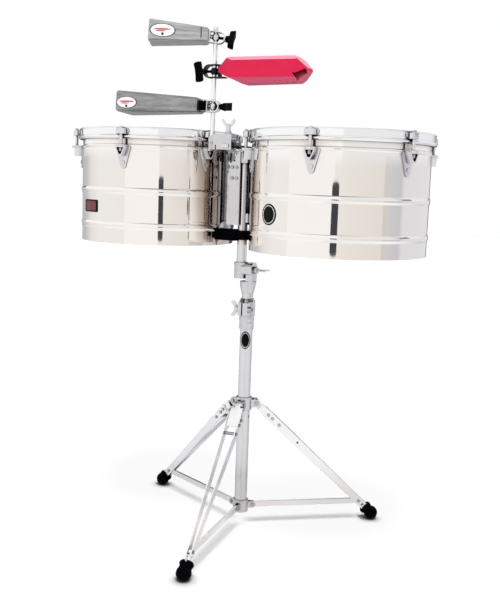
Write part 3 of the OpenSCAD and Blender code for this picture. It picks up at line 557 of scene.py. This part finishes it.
# The floor as polished metal mirrors it: once round the compass from the back, and out from the column.
FLOOR_TONES = [(0.0, (0.62, 0.62, 0.64)), (0.12, (0.55, 0.55, 0.57)), (0.22, (0.80, 0.80, 0.81)),
               (0.36, grey(0.97)), (0.52, WHITE), (0.56, (0.86, 0.86, 0.87)), (0.60, grey(0.95)),
               (0.74, grey(0.98)), (0.84, (0.80, 0.80, 0.81)), (0.92, (0.62, 0.62, 0.64)),
               (1.0, (0.62, 0.62, 0.64))]
FLOOR_RINGS = [(0.0, (0.90, 0.89, 0.88)), (0.05, (0.84, 0.81, 0.79)), (0.18, (0.84, 0.81, 0.79)),
               (0.24, WHITE)]
FLOOR_RINGS_RADIUS = 2.0
# The floor seen directly: its painted contact shadow by how open the place is, its own glow and its paint.
FLOOR_CONTACT_SHADOW = [(0.0, grey(0.10)), (0.50, grey(0.40)), (0.80, grey(0.80)), (0.97, WHITE)]
FLOOR_CONTACT_REACH = 0.022
FLOOR_RAYS = 16
FLOOR_GLOW = 0.05
FLOOR_ALBEDO = 0.11
FLOOR_HALF = 14.0


def tone_at(stops, az):
    for (a0, c0), (a1, c1) in zip(stops, stops[1:]):
        if a0 <= az <= a1:
            t = (az - a0) / (a1 - a0)
            return tuple(x + (y - x) * t for x, y in zip(c0, c1))
    return stops[-1][1]


def arc(az, radius, z):
    """The point at a compass direction, a distance from the column and a height."""
    a = math.radians(az)
    return (radius * math.sin(a), -radius * math.cos(a), z)


def glowing(name, colour=None):
    """A material that gives off one colour, or the mesh's own tones."""
    material = bpy.data.materials.new(name)
    material.use_nodes = True
    nodes = Nodes(material.node_tree)
    nodes.tree.nodes.clear()
    if colour is None:
        source = nodes.add("ShaderNodeAttribute", attribute_name="tone").outputs["Color"]
    else:
        source = (*colour, 1)
    nodes.feed(nodes.glow(source), nodes.add("ShaderNodeOutputMaterial").inputs[0])
    return material


def stage_mesh(name, verts, faces, material, only_reflections=True):
    mesh = bpy.data.meshes.new(name)
    mesh.from_pydata(verts, [], faces)
    mesh.materials.append(material)
    obj = bpy.data.objects.new(name, mesh)
    bpy.context.scene.collection.objects.link(obj)
    if only_reflections:
        obj.visible_camera = False
        obj.visible_diffuse = False
        obj.visible_shadow = False
        obj.visible_transmission = False
    return obj


def make_room():
    """The round wall of tones that the polished metal mirrors."""
    count = int(360 / ROOM_STEP)
    width = count + 1
    verts, faces, tones = [], [], []
    for z, stops in ROOM_ROWS:
        for i in range(width):
            az = -180 + ROOM_STEP * i
            verts.append(arc(az, ROOM_RADIUS, z))
            tones.append(tone_at(stops, az))
    for r in range(len(ROOM_ROWS) - 1):
        for i in range(count):
            a = r * width + i
            faces.append((a, a + 1, a + width + 1, a + width))
    obj = stage_mesh("room", verts, faces, glowing("room"))
    layer = obj.data.color_attributes.new(name="tone", type="FLOAT_COLOR", domain="POINT")
    for item, colour in zip(layer.data, tones):
        item.color = (*colour, 1)


def card(name, azimuths, radii, heights, colour):
    """A curved upright card round the object, seen only in reflections."""
    az0, az1 = azimuths
    radius0, radius1 = radii
    steps = max(2, int((az1 - az0) / CARD_STEP) + 1)
    verts = []
    for i in range(steps + 1):
        az = az0 + (az1 - az0) * i / steps
        radius = radius0 + (radius1 - radius0) * i / steps
        verts += [arc(az, radius, z) for z in heights]
    faces = [(2 * i, 2 * i + 2, 2 * i + 3, 2 * i + 1) for i in range(steps)]
    stage_mesh(name, verts, faces, glowing(name, colour))


def rounded_strip(name, az, radius, half, heights, cap, colour):
    """An upright flat card with round ends, facing the object, seen only in reflections."""
    low, high = heights
    middle = Vector(arc(az, radius, 0))
    side = Vector((math.cos(math.radians(az)), math.sin(math.radians(az)), 0))
    verts = []
    for start, centre in ((0, high - cap), (180, low + cap)):
        for angle in range(start, start + 181, CAP_STEP):
            a = math.radians(angle)
            verts.append(middle + side * (half * math.cos(a)) + Vector((0, 0, centre + cap * math.sin(a))))
    stage_mesh(name, [tuple(v) for v in verts], [tuple(range(len(verts)))], glowing(name, colour))


def make_world():
    """White seen directly and for diffuse light, bands of tone overhead for reflections."""
    world = bpy.data.worlds.new("studio")
    world.use_nodes = True
    nodes = Nodes(world.node_tree)
    plain = nodes.tree.nodes["Background"]
    plain.inputs["Color"].default_value = (*WHITE, 1)
    height = nodes.split(nodes.coordinates("Generated"))["Z"]
    banded = nodes.add("ShaderNodeBackground")
    nodes.feed(nodes.ramp(height, SKY_BANDS), banded.inputs["Color"])
    nodes.in_reflections(plain.outputs[0], banded.outputs[0], nodes.tree.nodes["World Output"].inputs[0])
    bpy.context.scene.world = world


def floor_plain(nodes):
    """White, with a painted contact shadow where the object stands close, on its faint glow and its lit
    surface.
    """
    # Painted shadow: darker where the object stands close.
    shade = nodes.ramp(nodes.openness(FLOOR_CONTACT_REACH, FLOOR_RAYS), FLOOR_CONTACT_SHADOW)
    lit = nodes.add("ShaderNodeBsdfDiffuse")
    nodes.feed(nodes.multiply((*grey(FLOOR_ALBEDO), 1), shade), lit.inputs["Color"])
    both = nodes.add("ShaderNodeAddShader")
    nodes.feed(nodes.glow(shade, FLOOR_GLOW), both.inputs[0])
    nodes.feed(lit.outputs[0], both.inputs[1])
    return both.outputs[0]


def floor_mirrored(nodes):
    """Compass tones, times rings round the column."""
    place = nodes.split(nodes.coordinates("Object"))
    x, y = place["X"], place["Y"]
    angle = nodes.compute("ARCTAN2", x, nodes.compute("MULTIPLY", y, -1.0))
    tones = nodes.ramp(nodes.rescale(angle, given=(-math.pi, math.pi)), FLOOR_TONES)
    squares = nodes.compute("ADD", nodes.compute("POWER", x, 2.0), nodes.compute("POWER", y, 2.0))
    share = nodes.compute("MULTIPLY", nodes.compute("SQRT", squares), 1.0 / FLOOR_RINGS_RADIUS)
    return nodes.glow(nodes.multiply(tones, nodes.ramp(share, FLOOR_RINGS)))


def make_floor():
    material = bpy.data.materials.new("floor")
    material.use_nodes = True
    nodes = Nodes(material.node_tree)
    nodes.tree.nodes.remove(nodes.tree.nodes["Principled BSDF"])
    output = nodes.tree.nodes["Material Output"]
    nodes.in_reflections(floor_plain(nodes), floor_mirrored(nodes), output.inputs[0])
    corners = [(x * FLOOR_HALF, y * FLOOR_HALF, 0) for x, y in ((-1, -1), (1, -1), (1, 1), (-1, 1))]
    return stage_mesh("floor", corners, [(0, 1, 2, 3)], material, only_reflections=False)


def make_sun(name, strength, softness, location):
    """A lamp that shines from its location on the origin and leaves no highlight of its own."""
    light = bpy.data.lights.new(name, "SUN")
    light.energy = strength
    light.angle = math.radians(softness)
    lamp = bpy.data.objects.new(name, light)
    lamp.location = location
    lamp.rotation_euler = (-lamp.location).to_track_quat("-Z", "Y").to_euler()
    lamp.visible_glossy = False
    bpy.context.scene.collection.objects.link(lamp)
    return lamp


def light_floor(floor):
    """One lamp lights the floor alone, and only the braces and feet stand in its way."""
    lamp = make_sun("floor_light", strength=25.5, softness=32, location=(0.35, -0.40, 1.2))
    lit = bpy.data.collections.new("floor_lit")
    lit.objects.link(floor)
    blockers = bpy.data.collections.new("floor_blockers")
    for side in ("front", "right", "left"):
        blockers.objects.link(frame["nodes"]["brace_" + side])
        blockers.objects.link(frame["nodes"]["leg_" + side + "_foot"])
    lamp.light_linking.receiver_collection = lit
    lamp.light_linking.blocker_collection = blockers


def make_surroundings():
    bpy.context.scene.view_settings.view_transform = "Standard"
    make_world()
    light_floor(make_floor())
    make_room()
    # A bright panel stands in front, with a narrow dark strip past its edge, against the room's wall.
    card("panel_bright", azimuths=(-30.0, 22.5), radii=(0.858, 1.327), heights=(0.30, 0.93),
         colour=(0.975, 0.955, 0.94))
    rounded_strip("strip_dark", az=24.9, radius=1.227, half=0.080, heights=(0.580, 0.808), cap=0.0108,
                  colour=(0.055, 0.055, 0.06))
    # Darker flags, high in front and at both sides, for the metal that curves up or away.
    card("flag_high", azimuths=(-15, 60), radii=(1.9, 1.9), heights=(2.5, 3.1), colour=(0.26, 0.25, 0.24))
    card("flag_left", azimuths=(-118, -104), radii=(2.0, 2.0), heights=(0.95, 1.5), colour=(0.20, 0.20, 0.21))
    card("flag_right", azimuths=(100, 116), radii=(2.0, 2.0), heights=(1.0, 1.5), colour=(0.30, 0.30, 0.31))
    make_sun("overhead", strength=1.6, softness=9, location=(0.3, -0.9, 3.0))


make_camera()
dress_frame()
make_pieces()
make_surroundings()
